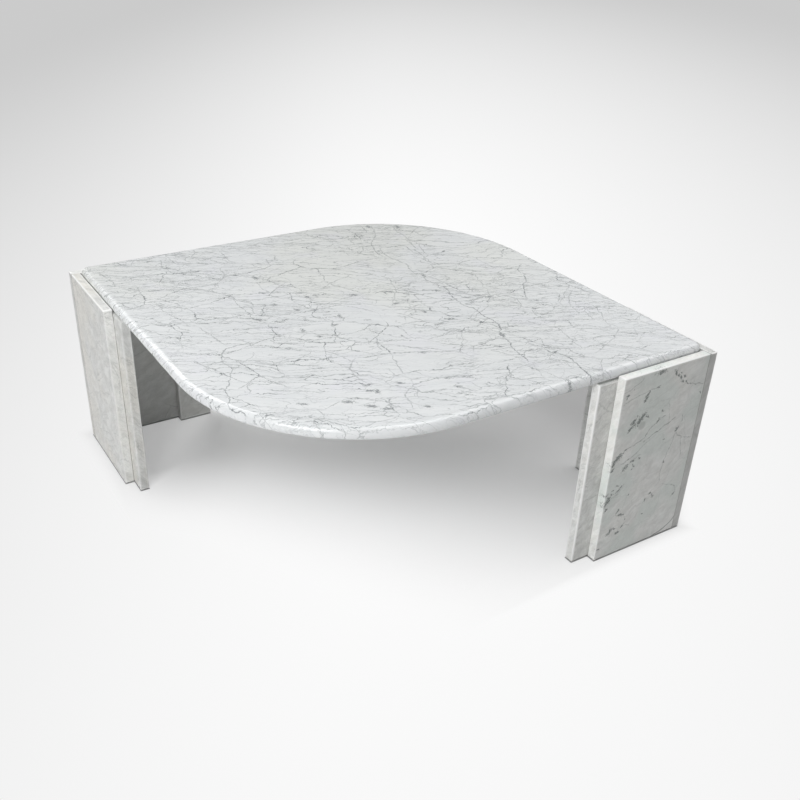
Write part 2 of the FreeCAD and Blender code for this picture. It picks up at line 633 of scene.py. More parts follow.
def drawn_vein(graph, place, points, width, strength):
    """One vein along listed points: a curve across the line from its first point to its last."""
    start, end = Vector(points[0]) * mm, Vector(points[-1]) * mm
    length = (end - start).length
    along = (end - start) / length
    aside = Vector((-along.y, along.x))
    axes = graph.axes(graph.fitted(place, start, math.atan2(along.y, along.x), (length, 1)))
    from_start = [Vector(point) * mm - start for point in points]
    offsets = [(step.dot(along) / length, step.dot(aside)) for step in from_start]
    reach = max(abs(offset) for _, offset in offsets) + vein_slack
    curve = graph.node("ShaderNodeFloatCurve", {"Value": axes[0]})
    knots = curve.mapping.curves[0].points
    for _ in offsets[2:]:
        knots.new(0.5, 0.5)
    for knot, (share, offset) in zip(knots, offsets):
        knot.location = (share, 0.5 + 0.5 * offset / reach)
    curve.mapping.update()
    centre = graph.math("MULTIPLY_ADD", curve.outputs[0], 2 * reach, -reach)
    off = graph.magnitude(graph.minus(axes[1], centre))
    line = graph.ramp(off, 0.0, width * mm, strength, 0.0)
    inside = graph.minus(0.5, graph.magnitude(graph.minus(axes[0], 0.5)))
    return graph.product(line, graph.ramp(inside, 0.0, vein_end_share))


stroke_scale = 420.0                  # of the noise that breaks spots up into strokes
stroke_stretch = 2.2
spot_raggedness = 5.5
spot_rim = (0.70, 1.15)               # shares of a spot's reach over which it fades


def spots(graph, place, families, slimness):
    """Ragged dark spots of small strokes. Those of a family lie along the same slant, in degrees."""
    nearest = None
    for slant, members in families.items():
        turn = math.radians(slant)
        local = graph.fitted(place, (0, 0), turn, (1, slimness))
        flat = graph.vector_math("MULTIPLY", local, (1, 1, 0))
        for x, y, length in members:
            centre = Vector((x * math.cos(turn) + y * math.sin(turn),
                             (y * math.cos(turn) - x * math.sin(turn)) / slimness, 0)) * mm
            share = graph.math("DIVIDE", graph.distance(flat, centre), length * mm)
            nearest = share if nearest is None else graph.math("MINIMUM", nearest, share)
    main_slant = math.radians(next(iter(families)))
    stroked = graph.fitted(place, (0, 0), main_slant, (stroke_stretch, 1))
    strokes = graph.noise(stroked, stroke_scale, detail=3.0, rough=0.6)
    ragged = graph.math("MULTIPLY_ADD", strokes, spot_raggedness, graph.minus(nearest, spot_raggedness / 2))
    return graph.ramp(ragged, *spot_rim, 1.0, 0.0)


# Veins of the top that stand out: points on its face and width in millimetres, and strength
top_veins = [
    ([(-60, 340), (-45, 290), (-30, 274), (-5, 256), (20, 238), (32, 215), (47, 194), (66, 186), (80, 162),
      (100, 148), (130, 128)], 1.8, 0.74),
    ([(120, 134), (131, 127), (147, 100), (156, 80), (172, 62), (182, 49), (198, 38), (215, 28), (228, 10),
      (250, -10), (268, -30), (277, -50), (278, -68), (288, -88), (303, -108), (312, -135), (325, -155),
      (335, -165), (350, -188)], 1.8, 0.88),
    ([(-125, 480), (-100, 420), (-90, 350), (-75, 310), (-30, 270)], 1.9, 0.74),
    ([(-62, 500), (-58, 465), (-20, 420), (5, 375), (25, 345)], 1.8, 0.68),
    ([(15, 345), (50, 300), (72, 265)], 1.7, 0.74),
    ([(60, 181), (43, 169), (29, 158), (27, 142), (20, 125), (33, 112)], 1.8, 0.60),
    ([(280, 330), (275, 300), (276, 280), (293, 262), (296, 240), (301, 225), (297, 200), (300, 172),
      (304, 150), (309, 125)], 1.8, 0.87),
    ([(288, 112), (298, 95), (304, 70), (303, 56), (317, 48), (308, 30), (295, 18), (279, 6)], 1.7, 0.67),
    ([(405, 200), (402, 170), (402, 135), (407, 112), (418, 90), (430, 70)], 1.7, 0.60),
    ([(335, 50), (360, 52), (385, 65), (420, 80)], 2.1, 0.43),
    ([(375, -125), (395, -132), (415, -138), (425, -148), (435, -163), (445, -180), (470, -215)], 2, 0.92),
    ([(350, -127), (338, -140), (335, -155)], 1.8, 0.67),
    ([(300, -125), (260, -148), (230, -162), (200, -180), (148, -199), (100, -219), (60, -244), (33, -262)],
      1.9, 0.69),
    ([(33, -260), (29, -285), (37, -312), (55, -335), (75, -348)], 1.7, 0.65),
    ([(50, -165), (55, -185), (60, -200), (72, -213)], 1.7, 0.67),
    ([(318, -222), (290, -236), (270, -246), (256, -254)], 1.8, 0.67),
    ([(262, -279), (232, -275), (212, -288), (190, -299), (178, -314), (165, -325), (155, -345)], 1.8,
      0.74),
    ([(157, -340), (153, -365), (156, -385), (168, -398), (195, -402)], 1.5, 0.60),
    ([(-180, -248), (-190, -268), (-204, -284), (-213, -300), (-208, -325), (-200, -345), (-182, -360),
      (-170, -372), (-168, -386), (-163, -402), (-157, -420), (-155, -450)], 1.7, 0.78),
    ([(-159, -444), (-136, -471), (-127, -497), (-114, -504), (-99, -509), (-91, -516)], 1.7, 0.85),
    ([(-79, -520), (-60, -521), (-50, -519), (-38, -517), (-24, -512)], 1.6, 0.60),
    ([(26, -510), (36, -519), (49, -524)], 1.5, 0.58),
    ([(70, -505), (77, -512), (83, -519)], 1.5, 0.62),
    ([(118, -503), (111, -507), (102, -513)], 1.2, 0.60),
    ([(-250, -356), (-225, -373), (-200, -380), (-180, -391), (-164, -401)], 1.8, 0.60),
    ([(-170, -371), (-163, -355), (-160, -335), (-154, -312), (-165, -290)], 1.4, 0.52),
    ([(-298, -218), (-285, -232), (-262, -247), (-245, -262), (-230, -273)], 1.7, 0.65),
    ([(-340, -197), (-358, -206), (-361, -218), (-350, -232), (-332, -241)], 1.8, 0.60),
    ([(-147, -205), (-143, -222), (-136, -238)], 1.7, 0.67),
    ([(-353, 34), (-341, 50), (-325, 66), (-308, 78), (-298, 98), (-282, 112), (-276, 128), (-279, 145)], 2,
      0.83),
    ([(-276, 140), (-291, 158), (-300, 172)], 1.8, 0.60),
    ([(-377, 97), (-371, 72), (-358, 56), (-350, 40)], 1.8, 0.56),
    ([(-484, 176), (-470, 155), (-467, 135), (-475, 120), (-471, 105)], 1.8, 0.60),
    ([(-525, 92), (-513, 68), (-502, 50), (-483, 38)], 1.9, 0.56),
    ([(-290, -76), (-270, -70), (-250, -73), (-237, -85), (-236, -99), (-228, -110), (-221, -128)], 2,
      0.69),
    ([(-222, -118), (-190, -107), (-150, -90), (-110, -66), (-60, -60)], 1.7, 0.48),
    ([(-90, 136), (-93, 120), (-105, 103), (-120, 60), (-130, 30)], 1.7, 0.60),
    ([(-35, 22), (-15, 15), (0, 13), (6, -10)], 1.5, 0.52),
    ([(31, 68), (37, 40), (38, 20), (44, -2)], 1.7, 0.56),
    ([(-110, -52), (-75, -43), (-63, -30), (-64, -15), (-48, -10)], 1.9, 0.67),
]
# Dark spots: for each slant in degrees, their centres and half lengths in millimetres
spot_slimness = 0.42                  # breadth over length
top_spots = {
    10: [(-200, -153, 10), (-155, -150, 8.5), (-60, -192, 7), (20, 68, 9.5), (172, -34, 9.5),
         (186, 88, 9.5), (116, 106, 9), (335, 118, 7.5), (-330, 55, 8), (132, -335, 8.5), (90, -378, 7),
         (148, -203, 6.5), (211, -291, 6), (105, -432, 10), (62, -428, 11), (-10, -456, 8), (135, -431, 8),
         (196, -405, 8), (-143, -82, 6.5), (-195, -72, 6), (285, -133, 8), (236, -318, 7), (78, -362, 5.5),
         (-128, 3, 7.5), (-50, 28, 9), (-405, -210, 5), (-240, -22, 9), (10, -88, 5.5), (-177, -476, 3.4),
         (-166, -484, 3.2), (-150, -492, 3.4)],
    -50: [(-48, -90, 9), (12, 60, 6), (286, -78, 9), (102, -378, 8.5), (427, -243, 9), (72, 182, 9),
          (-58, 488, 11.5), (-128, 466, 10), (-98, -176, 8.5), (113, -14, 8), (95, -142, 5.5),
          (-141, -12, 8), (-282, 55, 11)],
    45: [(-45, -130, 7.5), (-150, -138, 7), (154, -66, 8.5), (345, -132, 7.5), (-372, 22, 6), (48, 10, 7.5),
         (210, -243, 5.5)],
}
dash_slimness = 0.06
top_dashes = {
    16: [(-324, -163, 15), (-318, -155, 13), (-375, -182, 13), (-274, -167, 18), (-285, -196, 14),
         (-260, -190, 14), (-450, 29, 13), (-427, 34, 13), (200, -87, 16), (224, -79, 18), (248, -70, 16),
         (240, -66, 11), (62, -5, 13), (185, -141, 13), (360, 53, 17), (390, 68, 15), (-90, -107, 15),
         (-66, -101, 12), (-260, -65, 15), (-235, -58, 15), (-400, -115, 13), (-378, -109, 13),
         (20, -205, 10), (330, -232, 7), (160, 231, 8), (-105, 10, 16), (78, -168, 17), (104, -161, 15),
         (300, -60, 17), (-175, -183, 15), (-150, -177, 13), (-330, -281, 15), (-308, -274, 13),
         (-265, -333, 15), (-242, -327, 14), (-35, -20, 15)],
    -4: [(243, -277, 17), (298, -288, 13), (255, -341, 17), (-483, -19, 15), (-445, -18, 14),
         (-420, -21, 12), (366, -269, 7), (-210, -152, 12), (188, -299, 9)],
}

# Fine veins of the top: kind, shift, turn in degrees, size of cell or wave, width, the scale of the
# noise for their patches and its values from and to which they come in, and strength
top_layers = [
    (net, (1.3, 0.2, 0), 14, (0.120, 0.045), 0.0011, (5.0, 0.40, 0.50), 0.92),
    (net, (4.1, 2.7, 0), 24, (0.060, 0.022), 0.0009, (8.0, 0.46, 0.56), 0.70),
    (net, (7.7, 5.9, 0), 5, (0.150, 0.090), 0.0012, (4.0, 0.40, 0.48), 0.95),
    (streaks, (2.2, 8.1, 0), 12, (0.400, 0.065), 0.0011, (4.0, 0.40, 0.52), 0.80),
    (streaks, (6.4, 3.3, 0), 28, (0.300, 0.070), 0.0011, (4.0, 0.42, 0.54), 0.85),
    (streaks, (5.1, 1.9, 0), 18, (0.130, 0.020), 0.0009, (7.0, 0.48, 0.60), 0.50),
]

# The top's stone. A bend is a noise's scale and reach. Patches are a noise's shift and scale, its
# values from and to which they change, and what they change from and to.
top_lean = (0.6, 0.35)
top_wander = (7.0, 0.05)
top_bend = (40.0, 0.020)
top_frays = {net: (170.0, 0.0075), streaks: (170.0, 0.0055)}
drawn_bends = [(42.0, 0.010), (170.0, 0.010)]
fine_strengths = ((3, 1, 2), 30.0, 0.36, 0.62, 0.58, 1.15)
fine_spreads = ((9, 4, 6), 60.0, 0.42, 0.75, 0.8, 1.5)
grain_turn = math.radians(-15)
speck_frame = {"scale": (0.35, 1, 1), "shift": (8, 8, 8)}
speck_noise = {"scale": 110.0, "detail": 2.0}
speck_strengths = (0.69, 0.75, 0.0, 0.6)
drawn_gap_noise = {"scale": 75.0, "detail": 3.0}
drawn_gap_strengths = (0.36, 0.58, 0.60, 1.0)
knot_strength = 0.72
dash_strength = 0.70
warm_patches = ((2.0, 3.3, 0), 3.5, 0.40, 0.60)
violet_patches = ((6.0, 1.3, 4.0), 11.0, 0.55, 0.70)

# What changes across the top: places from and to, and amounts from and to
veins_everywhere = (0.12, 0.50, 0.10, 0.78)   # share of the fine veins that shows outside their patches
fine_to_right = (0.30, 0.50, 1.0, 0.78)
edge_veins = (-0.35, 0.05, 1.0, 0.45)         # fine veins on the round edge, from left to right
edge_heights = (0.4360, 0.4445)               # over which they come up to those of the face
warm_to_back = (-0.30, 0.05)
warm_to_left = (0.45, 0.15)
light_to_back_right = (0.25, 0.65, 0.990, 1.075)
light_to_left = (-0.10, -0.40, 0.0, 0.035)
# A painted highlight on the round edge at the left: heights over which it comes in, and places sideways from
# and to with its amounts
painted_highlight_heights = (0.4448, 0.4425)
painted_highlight_to_left = (-0.20, -0.40, 0.0, 0.17)

# Colours and surface of the top's stone
top_cloud_frame = {"scale": (0.16, 1, 1)}
top_cloud_noise = {"scale": 60.0, "detail": 6.0, "rough": 0.6}
top_clouds = (0.742, 0.761, 0.770, 1), (0.800, 0.815, 0.820, 1)
top_warm = (0.78, 0.79, 0.735, 1)
top_warm_share = 0.40
top_violet = (0.76, 0.76, 0.82, 1)
top_violet_share = 0.25
top_vein_colour = (0.17, 0.19, 0.195, 1)
top_smears = 25.0                     # scale of the noise of the roughness
top_roughness = (0.16, 0.26)
top_bump = {"strength": 0.04, "distance": 0.0006}
marble_ior = 1.49
grain_span = (0.30, 0.70)             # values of a noise between which a colour or a roughness changes


def top_fine_veins(graph, sloped, sideways):
    """The dense net of the top, and the place along whose grain its stone is clouded."""
    wander = displaced(graph, sloped, top_wander)
    bent = displaced(graph, wander, top_bend)
    places = {kind: displaced(graph, bent, fray) for kind, fray in top_frays.items()}
    spread = patches(graph, sloped, *fine_spreads)
    everywhere = graph.ramp(graph.magnitude(sideways), *veins_everywhere)
    layers = fine_veins(graph, top_layers, places, wander, spread, everywhere)
    along = graph.mapped(places[net], turn=grain_turn)
    specks = graph.noise(graph.mapped(along, **speck_frame), **speck_noise)
    layers.append(graph.ramp(specks, *speck_strengths))
    uneven = patches(graph, sloped, *fine_strengths, detail=3.0)
    fine = graph.product(graph.most(*layers), uneven, graph.ramp(sideways, *fine_to_right))
    return fine, along


def top_drawn_marks(graph, place):
    """The veins, spots and dashes of the top that stand out."""
    bent = displaced(graph, place, *drawn_bends)
    drawn = graph.most(*[drawn_vein(graph, bent, *vein) for vein in top_veins])
    broken = graph.ramp(graph.noise(bent, **drawn_gap_noise), *drawn_gap_strengths)
    knots = graph.product(spots(graph, bent, top_spots, spot_slimness), knot_strength)
    dashes = graph.product(spots(graph, bent, top_dashes, dash_slimness), dash_strength)
    return graph.most(knots, dashes, graph.product(drawn, broken))


def top_tone(graph, place, cloud):
    """Colour of the top's stone between its veins, with a painted highlight along its round edge at the left.
    """
    sideways, backwards, height = graph.axes(place)
    tone = graph.mix(graph.ramp(cloud, *grain_span), *top_clouds)
    back_left = graph.product(graph.ramp(backwards, *warm_to_back), graph.ramp(sideways, *warm_to_left))
    warm_zone = graph.product(patches(graph, place, *warm_patches), back_left)
    warm = graph.mix(graph.product(warm_zone, top_warm_share), tone, top_warm)
    violet_zone = patches(graph, place, *violet_patches)
    tinted = graph.mix(graph.product(violet_zone, top_violet_share), warm, top_violet)
    by_place = graph.ramp(graph.total(sideways, backwards), *light_to_back_right)
    highlight_band = graph.ramp(height, *painted_highlight_heights)
    left_edge_highlight = graph.product(highlight_band, graph.ramp(sideways, *painted_highlight_to_left))
    return graph.scaled(tinted, graph.total(by_place, left_edge_highlight, graph.ramp(sideways, *light_to_left)))


def top_marble():
    """White marble with dense fine grey veins that run a little up to the right, polished."""
    graph = Graph("top_marble")
    place = graph.object_place()
    sideways, _, height = graph.axes(place)
    fine, along = top_fine_veins(graph, leaned(graph, place, top_lean), sideways)
    on_face = graph.ramp(height, *edge_heights, graph.ramp(sideways, *edge_veins), 1.0)
    veins = graph.most(graph.product(fine, on_face), top_drawn_marks(graph, place))
    cloud = graph.noise(graph.mapped(along, **top_cloud_frame), **top_cloud_noise)
    graph.look({
        "Base Color": graph.mix(veins, top_tone(graph, place, cloud), top_vein_colour),
        "Roughness": graph.ramp(graph.noise(place, top_smears), *grain_span, *top_roughness),
        "IOR": marble_ior,
    })
    graph.bump(cloud, **top_bump)
    return graph.material


# Fine veins of the legs, as for the top. The turns are those on a slab's face.
leg_layers = [
    (net, (3.1, 4.2, 0), -36, (0.075, 0.030), 0.0018, (8.0, 0.50, 0.60), 0.24),
    (net, (8.4, 1.7, 0), -20, (0.120, 0.090), 0.0020, (6.0, 0.45, 0.55), 0.26),
    (streaks, (2.9, 6.3, 0), -30, (0.300, 0.050), 0.0018, (7.0, 0.52, 0.64), 0.24),
]

# Marks on the right leg's front face: millimetres from its outer corner and above the floor
right_face_spots = {
    -52: [(235, 391, 5.5), (181, 382, 8), (184, 371, 7.5), (193, 323, 10), (184, 333, 10), (207, 327, 10.5),
          (213, 313, 7.5), (203, 318, 5), (232, 252, 13), (241, 242, 10.5), (244, 227, 6), (208, 221, 9.5),
          (188, 211, 3), (247, 165, 5.5), (241, 150, 12), (246, 141, 7.5), (217, 168, 5), (211, 175, 5),
          (242, 127, 6), (205, 114, 6.5), (178, 84, 2.6), (218, 66, 9.5), (183, 69, 5), (129, 115, 5.2),
          (42, 103, 5.2), (75, 275, 4.8), (138, 311, 5.5)],
    0: [(222, 402, 2.4), (157, 390, 4.2), (155, 424.5, 12.5), (217, 265, 3.6), (191, 231, 4.5),
        (231, 172, 3.4), (222, 182, 3.6), (117, 129, 4.6), (206, 69, 4), (198, 55, 5.2), (244, 27, 4),
        (108, 258, 2.6), (96, 407, 3), (184, 148, 3), (129, 81, 3), (197, 101, 5), (189, 97, 4.8)],
    50: [(172, 331, 5.5), (184, 218, 5), (170, 233, 3.4), (108, 120, 5.8), (95, 200, 3.6), (130, 332, 3.6),
         (111, 413, 7.8), (103, 404, 5), (95, 396, 5), (85, 398, 4), (87, 386, 5), (78, 383, 3.6),
         (26, 346, 4)],
}
right_face_veins = [
    ([(222, 265), (190, 272), (173, 277), (160, 292), (140, 309), (115, 317)], 1.4, 1.00),
    ([(170, 270), (150, 277), (127, 286), (113, 293), (85, 305)], 1.6, 1.00),
    ([(222, 232), (200, 240), (187, 245), (167, 262), (147, 270)], 1.4, 0.81),
    ([(212, 218), (190, 232), (167, 241)], 1.3, 0.68),
    ([(248, 399), (228, 407), (213, 414), (200, 423)], 1.3, 0.74),
    ([(248, 373), (218, 382), (200, 386), (180, 390), (157, 391), (147, 396)], 1.3, 0.74),
    ([(80, 384), (60, 374), (40, 370), (21, 366)], 1.6, 0.94),
    ([(67, 305), (65, 289), (76, 275), (72, 262), (55, 250), (40, 242), (21, 241)], 1.4, 0.81),
    ([(75, 275), (83, 240), (91, 214), (96, 198), (98, 180), (95, 150)], 1.4, 0.68),
    ([(117, 352), (108, 320), (104, 290)], 1.2, 0.47),
    ([(55, 250), (50, 215), (45, 200)], 1.2, 0.61),
    ([(230, 155), (212, 163), (202, 184)], 1.2, 0.68),
    ([(87, 142), (60, 132), (43, 122), (40, 104)], 1.3, 0.61),
    ([(218, 74), (200, 68), (183, 70), (160, 60)], 1.2, 0.61),
    ([(216, 105), (198, 101), (185, 95), (180, 80)], 1.2, 0.61),
]
# A corner that broke off low on the same slab and was glued back: the line of the break
repaired_break = [(20, 46), (26, 28), (43, 16), (67, 7), (90, 2)]
break_width = 2.0
smudge_place = Vector((182, 312, 0)) * mm     # a soft grey patch between the spots
smudge_rim = (0.007, 0.012, 0.30, 0.0)        # metres out from it, and its strengths there
face_mark_depths = (0.003, 0.012, 1.0, 0.25)  # strength of the marks from the surface into the stone
face_dot_noise = {"scale": 170.0, "detail": 3.0}
face_dot_strengths = (0.40, 0.60, 0.45, 1.0)
face_knot_strength = 0.90
slab_mid_depth = 0.01
slab_depth_rim = (0.02, 0.03, 1.0, 0.0)       # off the middle of its stone, where a slab's own stone ends
face_bends = [(60.0, 0.010), (240.0, 0.0055)]
break_bend = (60.0, 0.004)

# The legs' stone, as for the top
leg_lean = (0.7, 0.5)
leg_wander = (9.0, 0.05)
leg_bends = [(45.0, 0.018), (170.0, 0.006)]
leg_grain_frame = {"turn": math.radians(32), "scale": (1, 1, 0.5)}
leg_cloud_frame = {"scale": (0.4, 1, 1)}
leg_cloud_noise = {"scale": 70.0, "detail": 6.0, "rough": 0.62}
leg_grit_frame = {"scale": (0.5, 1, 1), "shift": (4, 2, 7)}
leg_grit_noise = {"scale": 300.0, "rough": 0.65}
leg_blotch_noise = {"scale": 38.0, "detail": 5.0, "rough": 0.6}
leg_warm_patches = ((1.0, 6.3, 2.0), 6.0, 0.42, 0.62)
leg_warm_to_right = (-0.5, 0.5, 0.6, 0.12)
lively_tones = (-0.40, -0.35, 0.3, 1.0)       # slabs darker than this are less mottled and less warm
mottling = (0.40, 0.60, -0.05, 0.05)
paler_share = 0.27
duller_share = 0.41
leg_clouds = (0.64, 0.645, 0.625, 1), (0.775, 0.78, 0.765, 1)
leg_warm = (0.785, 0.765, 0.705, 1)
face_cool = (0.63, 0.675, 0.645, 1)
face_cool_share = 0.7
face_plain_share = 0.5
face_cool_noise = {"scale": 9.0, "detail": 2.0}
face_cool_span = (0.42, 0.58)
leg_vein_colour = (0.13, 0.15, 0.14, 1)
worn_and_highlit_colour = (0.92, 0.92, 0.91, 1)
leg_smears = 30.0
leg_roughness = (0.30, 0.42)
leg_bump = {"strength": 0.08, "distance": 0.0006}


def in_right_face(graph, face):
    """One in the right leg's front outer slab, and nought in the other slabs' stone."""
    off_middle = graph.magnitude(graph.minus(graph.axes(face)[2], slab_mid_depth))
    return graph.ramp(off_middle, *slab_depth_rim)


def right_face_marks(graph, face):
    """The marks of the right leg's front outer slab, which fade towards the inside of the stone."""
    surface = graph.ramp(graph.axes(face)[2], *face_mark_depths)
    ragged = displaced(graph, face, *face_bends)
    dotted = graph.ramp(graph.noise(face, **face_dot_noise), *face_dot_strengths)
    lines = graph.most(*[drawn_vein(graph, ragged, *vein) for vein in right_face_veins])
    crack = drawn_vein(graph, displaced(graph, face, break_bend), repaired_break, break_width, 1.0)
    smudge = graph.ramp(graph.distance(face, smudge_place), *smudge_rim)
    knots = graph.product(spots(graph, ragged, right_face_spots, spot_slimness), face_knot_strength)
    marks = graph.most(knots, graph.product(lines, dotted), smudge, crack)
    return graph.product(marks, surface, in_right_face(graph, face))


def leg_marble():
    """The legs' marble: plainer than the top, with faint veins, soft mottling and a few dark marks."""
    graph = Graph("leg_marble")
    stone = graph.attribute("stone", "Vector")
    own = graph.attribute("tone", "Fac")
    wander = displaced(graph, leaned(graph, stone, leg_lean), leg_wander)
    ragged = displaced(graph, wander, *leg_bends)

    layers = fine_veins(graph, leg_layers, {net: ragged, streaks: ragged}, wander, 1.0, 0.0)
    face = graph.vector_math("SUBTRACT", stone, slab_block_place("right", "front_outer_slab"))
    plainer = graph.math("MULTIPLY_ADD", in_right_face(graph, face), -face_plain_share, 1.0)
    fine = graph.product(graph.most(*layers), plainer)
    veins = graph.most(fine, right_face_marks(graph, face))

    along = graph.mapped(ragged, **leg_grain_frame)
    cloud = graph.noise(graph.mapped(along, **leg_cloud_frame), **leg_cloud_noise)
    tone = graph.mix(graph.ramp(cloud, *grain_span), *leg_clouds)
    livelier = graph.ramp(own, *lively_tones)
    warm_zone = patches(graph, wander, *leg_warm_patches)
    warmth = graph.product(warm_zone, graph.ramp(graph.axes(stone)[0], *leg_warm_to_right), livelier)
    warm = graph.mix(warmth, tone, leg_warm)
    cool_patches = graph.ramp(graph.noise(face, **face_cool_noise), *face_cool_span)
    coolness = graph.product(in_right_face(graph, face), cool_patches, face_cool_share)
    cooled = graph.mix(coolness, warm, face_cool)

    # The tone attribute holds the stone's own tone and painted light and shade
    paler = graph.product(graph.most(own, 0.0), paler_share)
    duller = graph.product(graph.math("MINIMUM", own, 0.0), duller_share)
    grit = graph.noise(graph.mapped(along, **leg_grit_frame), **leg_grit_noise)
    blotch = graph.noise(wander, **leg_blotch_noise)
    mottled = graph.total(graph.ramp(grit, *mottling), graph.ramp(blotch, *mottling))
    level = graph.total(1.0, graph.product(mottled, plainer, livelier), graph.total(paler, duller))
    marked = graph.mix(veins, graph.scaled(cooled, level), leg_vein_colour)
    graph.look({
        # Arrises painted paler: wear from knocks, and partly a painted highlight
        "Base Color": graph.mix(graph.attribute("worn_and_highlit", "Fac"), marked, worn_and_highlit_colour),
        "Roughness": graph.ramp(graph.noise(stone, leg_smears), *grain_span, *leg_roughness),
        "IOR": marble_ior,
    })
    graph.bump(cloud, **leg_bump)
    return graph.material


def grain_look(graph, grain, dark, light, roughness):
    """Colour and roughness that follow one grain."""
    graph.look({
        "Base Color": graph.mix(graph.ramp(grain, *grain_span), dark, light),
        "Roughness": graph.ramp(grain, *grain_span, *roughness),
    })


def stone_glue():
    """Cured stone glue, tinted grey and sanded back."""
    graph = Graph("stone_glue")
    grain = graph.noise(graph.object_place(), scale=180.0, detail=5.0)
    grain_look(graph, grain, dark=(0.24, 0.235, 0.22, 1), light=(0.34, 0.335, 0.315, 1),
               roughness=(0.55, 0.75))
    graph.bump(grain, strength=0.3, distance=0.0003)
    return graph.material


def pin_steel():
    """Stainless rod, scored for the glue."""
    graph = Graph("pin_steel")
    scratch = graph.noise(graph.mapped(graph.object_place(), scale=(1, 1, 12)), scale=120.0)
    grain_look(graph, scratch, dark=grey(0.50), light=(0.68, 0.68, 0.67, 1), roughness=(0.28, 0.45))
    graph.look({"Metallic": 1.0})
    graph.bump(scratch, strength=0.2, distance=0.0002)
    return graph.material


felt_bend = (300.0, 0.003)


def pad_felt():
    """Pressed grey felt."""
    graph = Graph("pad_felt")
    tangled = displaced(graph, graph.object_place(), felt_bend)
    fibre = graph.noise(tangled, scale=900.0, rough=0.65)
    grain_look(graph, fibre, dark=(0.12, 0.118, 0.11, 1), light=(0.22, 0.215, 0.20, 1),
               roughness=(0.85, 0.98))
    graph.bump(fibre, strength=0.6, distance=0.0006)
    return graph.material


def dress(piece, material):
    piece.data.materials.clear()
    piece.data.materials.append(material)


def dress_cad_node(node, material):
    """A CAD node that keeps its own mesh."""
    for slot in nodes[node].material_slots:
        slot.material = material


def add_table():
    dress(add_top(), top_marble())
    stone = leg_marble()
    for slab in add_slabs():
        dress(slab, stone)
    felt = pad_felt()
    for pad in add_pads():
        dress(pad, felt)
    glue = stone_glue()
    steel = pin_steel()
    for leg in leg_side:
        for seam in ("corner_seam", "back_face_seam", "front_face_seam"):
            dress_cad_node(leg + "_leg_" + seam, glue)
        dress_cad_node(leg + "_leg_corner_pins", steel)


# Studio: a pale floor that falls off away from the table, and soft light, most of it from the front.

floor_half = 40.0
floor_drop = 0.0003
floor_colour = 0.84
floor_tone_near = 1.16
floor_tone_far = 0.599
floor_tone_span = (-0.5, 1.0)         # how far out those two tones would lie, in shares of the oval
floor_oval_turn = math.radians(78.8)  # the floor's tone falls off in ovals that lie askew to the table
floor_oval_shift = (0.930, -0.041, 0)
floor_oval_length = 13.44
floor_oval_right = 5.37
floor_oval_left = 3.16
footprint_margin = 0.0002             # the painted shade under a slab reaches this far out from under it
footprint_edge = 0.0012
# Painted shade: the floor's colour under the slabs
contact_shade_colour = 0.45
deep_shade_colour = 0.55              # painted shade: the floor's colour where its shade is deepest

# Where the floor is open, as places from and to, and amounts from and to. In front it begins at a line
# across the table that blurs towards the right.
open_line = (-0.25, -0.45, -0.10, -0.145)     # places sideways, and how far back the line lies there
open_blur = 0.60                              # in the middle of the table, and its growth to the right
least_open_blur = 0.30
open_by_left_leg = (-0.40, -0.50, 0.0, 0.35)
outside_table = (0.66, 0.76)
back_shade_sides = (-0.75, -0.62), (0.74, 0.62)
back_shade_depths = (-0.04, 0.04), (1.05, 0.70)
deep_shade_slant = 0.6
deep_shade_run = (0.40, 0.76)
deep_shade_right = (0.62, 0.52)
deep_shade_back = (0.85, 0.60)


def seen_directly(graph):
    """One for rays from the camera or by way of a reflection, and nought for rays that light things."""
    path = graph.node("ShaderNodeLightPath", {}).outputs
    return graph.most(path["Is Camera Ray"], path["Is Glossy Ray"], path["Is Transmission Ray"])


def between(graph, value, low, high):
    """One between two limits and nought outside them, with a narrow edge."""
    low -= footprint_margin
    high += footprint_margin
    rise = graph.ramp(value, low - footprint_edge, low)
    fall = graph.ramp(value, high, high + footprint_edge, 1.0, 0.0)
    return graph.product(rise, fall)


def under_slabs(graph, place):
    """One on the floor under the legs' slabs, and nought elsewhere."""
    axes = graph.axes(place)
    across = graph.minus(corner_reach, graph.magnitude(axes[0]))
    backwards = graph.product(graph.total(across, axes[1]), diagonal)
    frontwards = graph.product(graph.minus(across, axes[1]), diagonal)
    inset = graph.math("MINIMUM", backwards, frontwards)
    run = graph.most(backwards, frontwards)
    prints = []
    for part in ("back_outer_slab", "back_inner_slab"):
        low, high = corner_box("right_leg_" + part, leg_side["right"])
        prints.append(graph.product(between(graph, inset, low.y, high.y), between(graph, run, low.x, high.x)))
    return graph.most(*prints)


def faded(graph, value, *spans):
    """A product of ramps of one value, each from nought to one."""
    return graph.product(*[graph.ramp(value, *limits) for limits in spans])


def open_floor_share(graph, place):
    """How far the floor shows its plain tone. The rest of it shows the light that reaches it by the table."""
    axes = graph.axes(place)
    blur = graph.most(graph.math("MULTIPLY_ADD", axes[0], open_blur, open_blur), least_open_blur)
    ahead = graph.math("DIVIDE", graph.minus(graph.ramp(axes[0], *open_line), axes[1]), blur)
    in_front = graph.ramp(ahead, -0.5, 0.5)
    by_left_leg = graph.ramp(axes[0], *open_by_left_leg)
    reach = graph.total(graph.magnitude(axes[0]), graph.magnitude(axes[1]))
    behind = graph.product(faded(graph, axes[0], *back_shade_sides),
                           faded(graph, axes[1], *back_shade_depths))
    outside = graph.product(graph.ramp(reach, *outside_table), graph.minus(1.0, behind))
    return graph.most(in_front, by_left_leg, outside)


def deep_shade(graph, place):
    """How far a place lies in the deep shade under the back right of the top, which is painted into the
    floor's colour.
    """
    axes = graph.axes(place)
    run = graph.math("MULTIPLY_ADD", axes[0], deep_shade_slant, axes[1])
    return graph.product(graph.ramp(run, *deep_shade_run), graph.ramp(axes[0], *deep_shade_right),
                         graph.ramp(axes[1], *deep_shade_back))


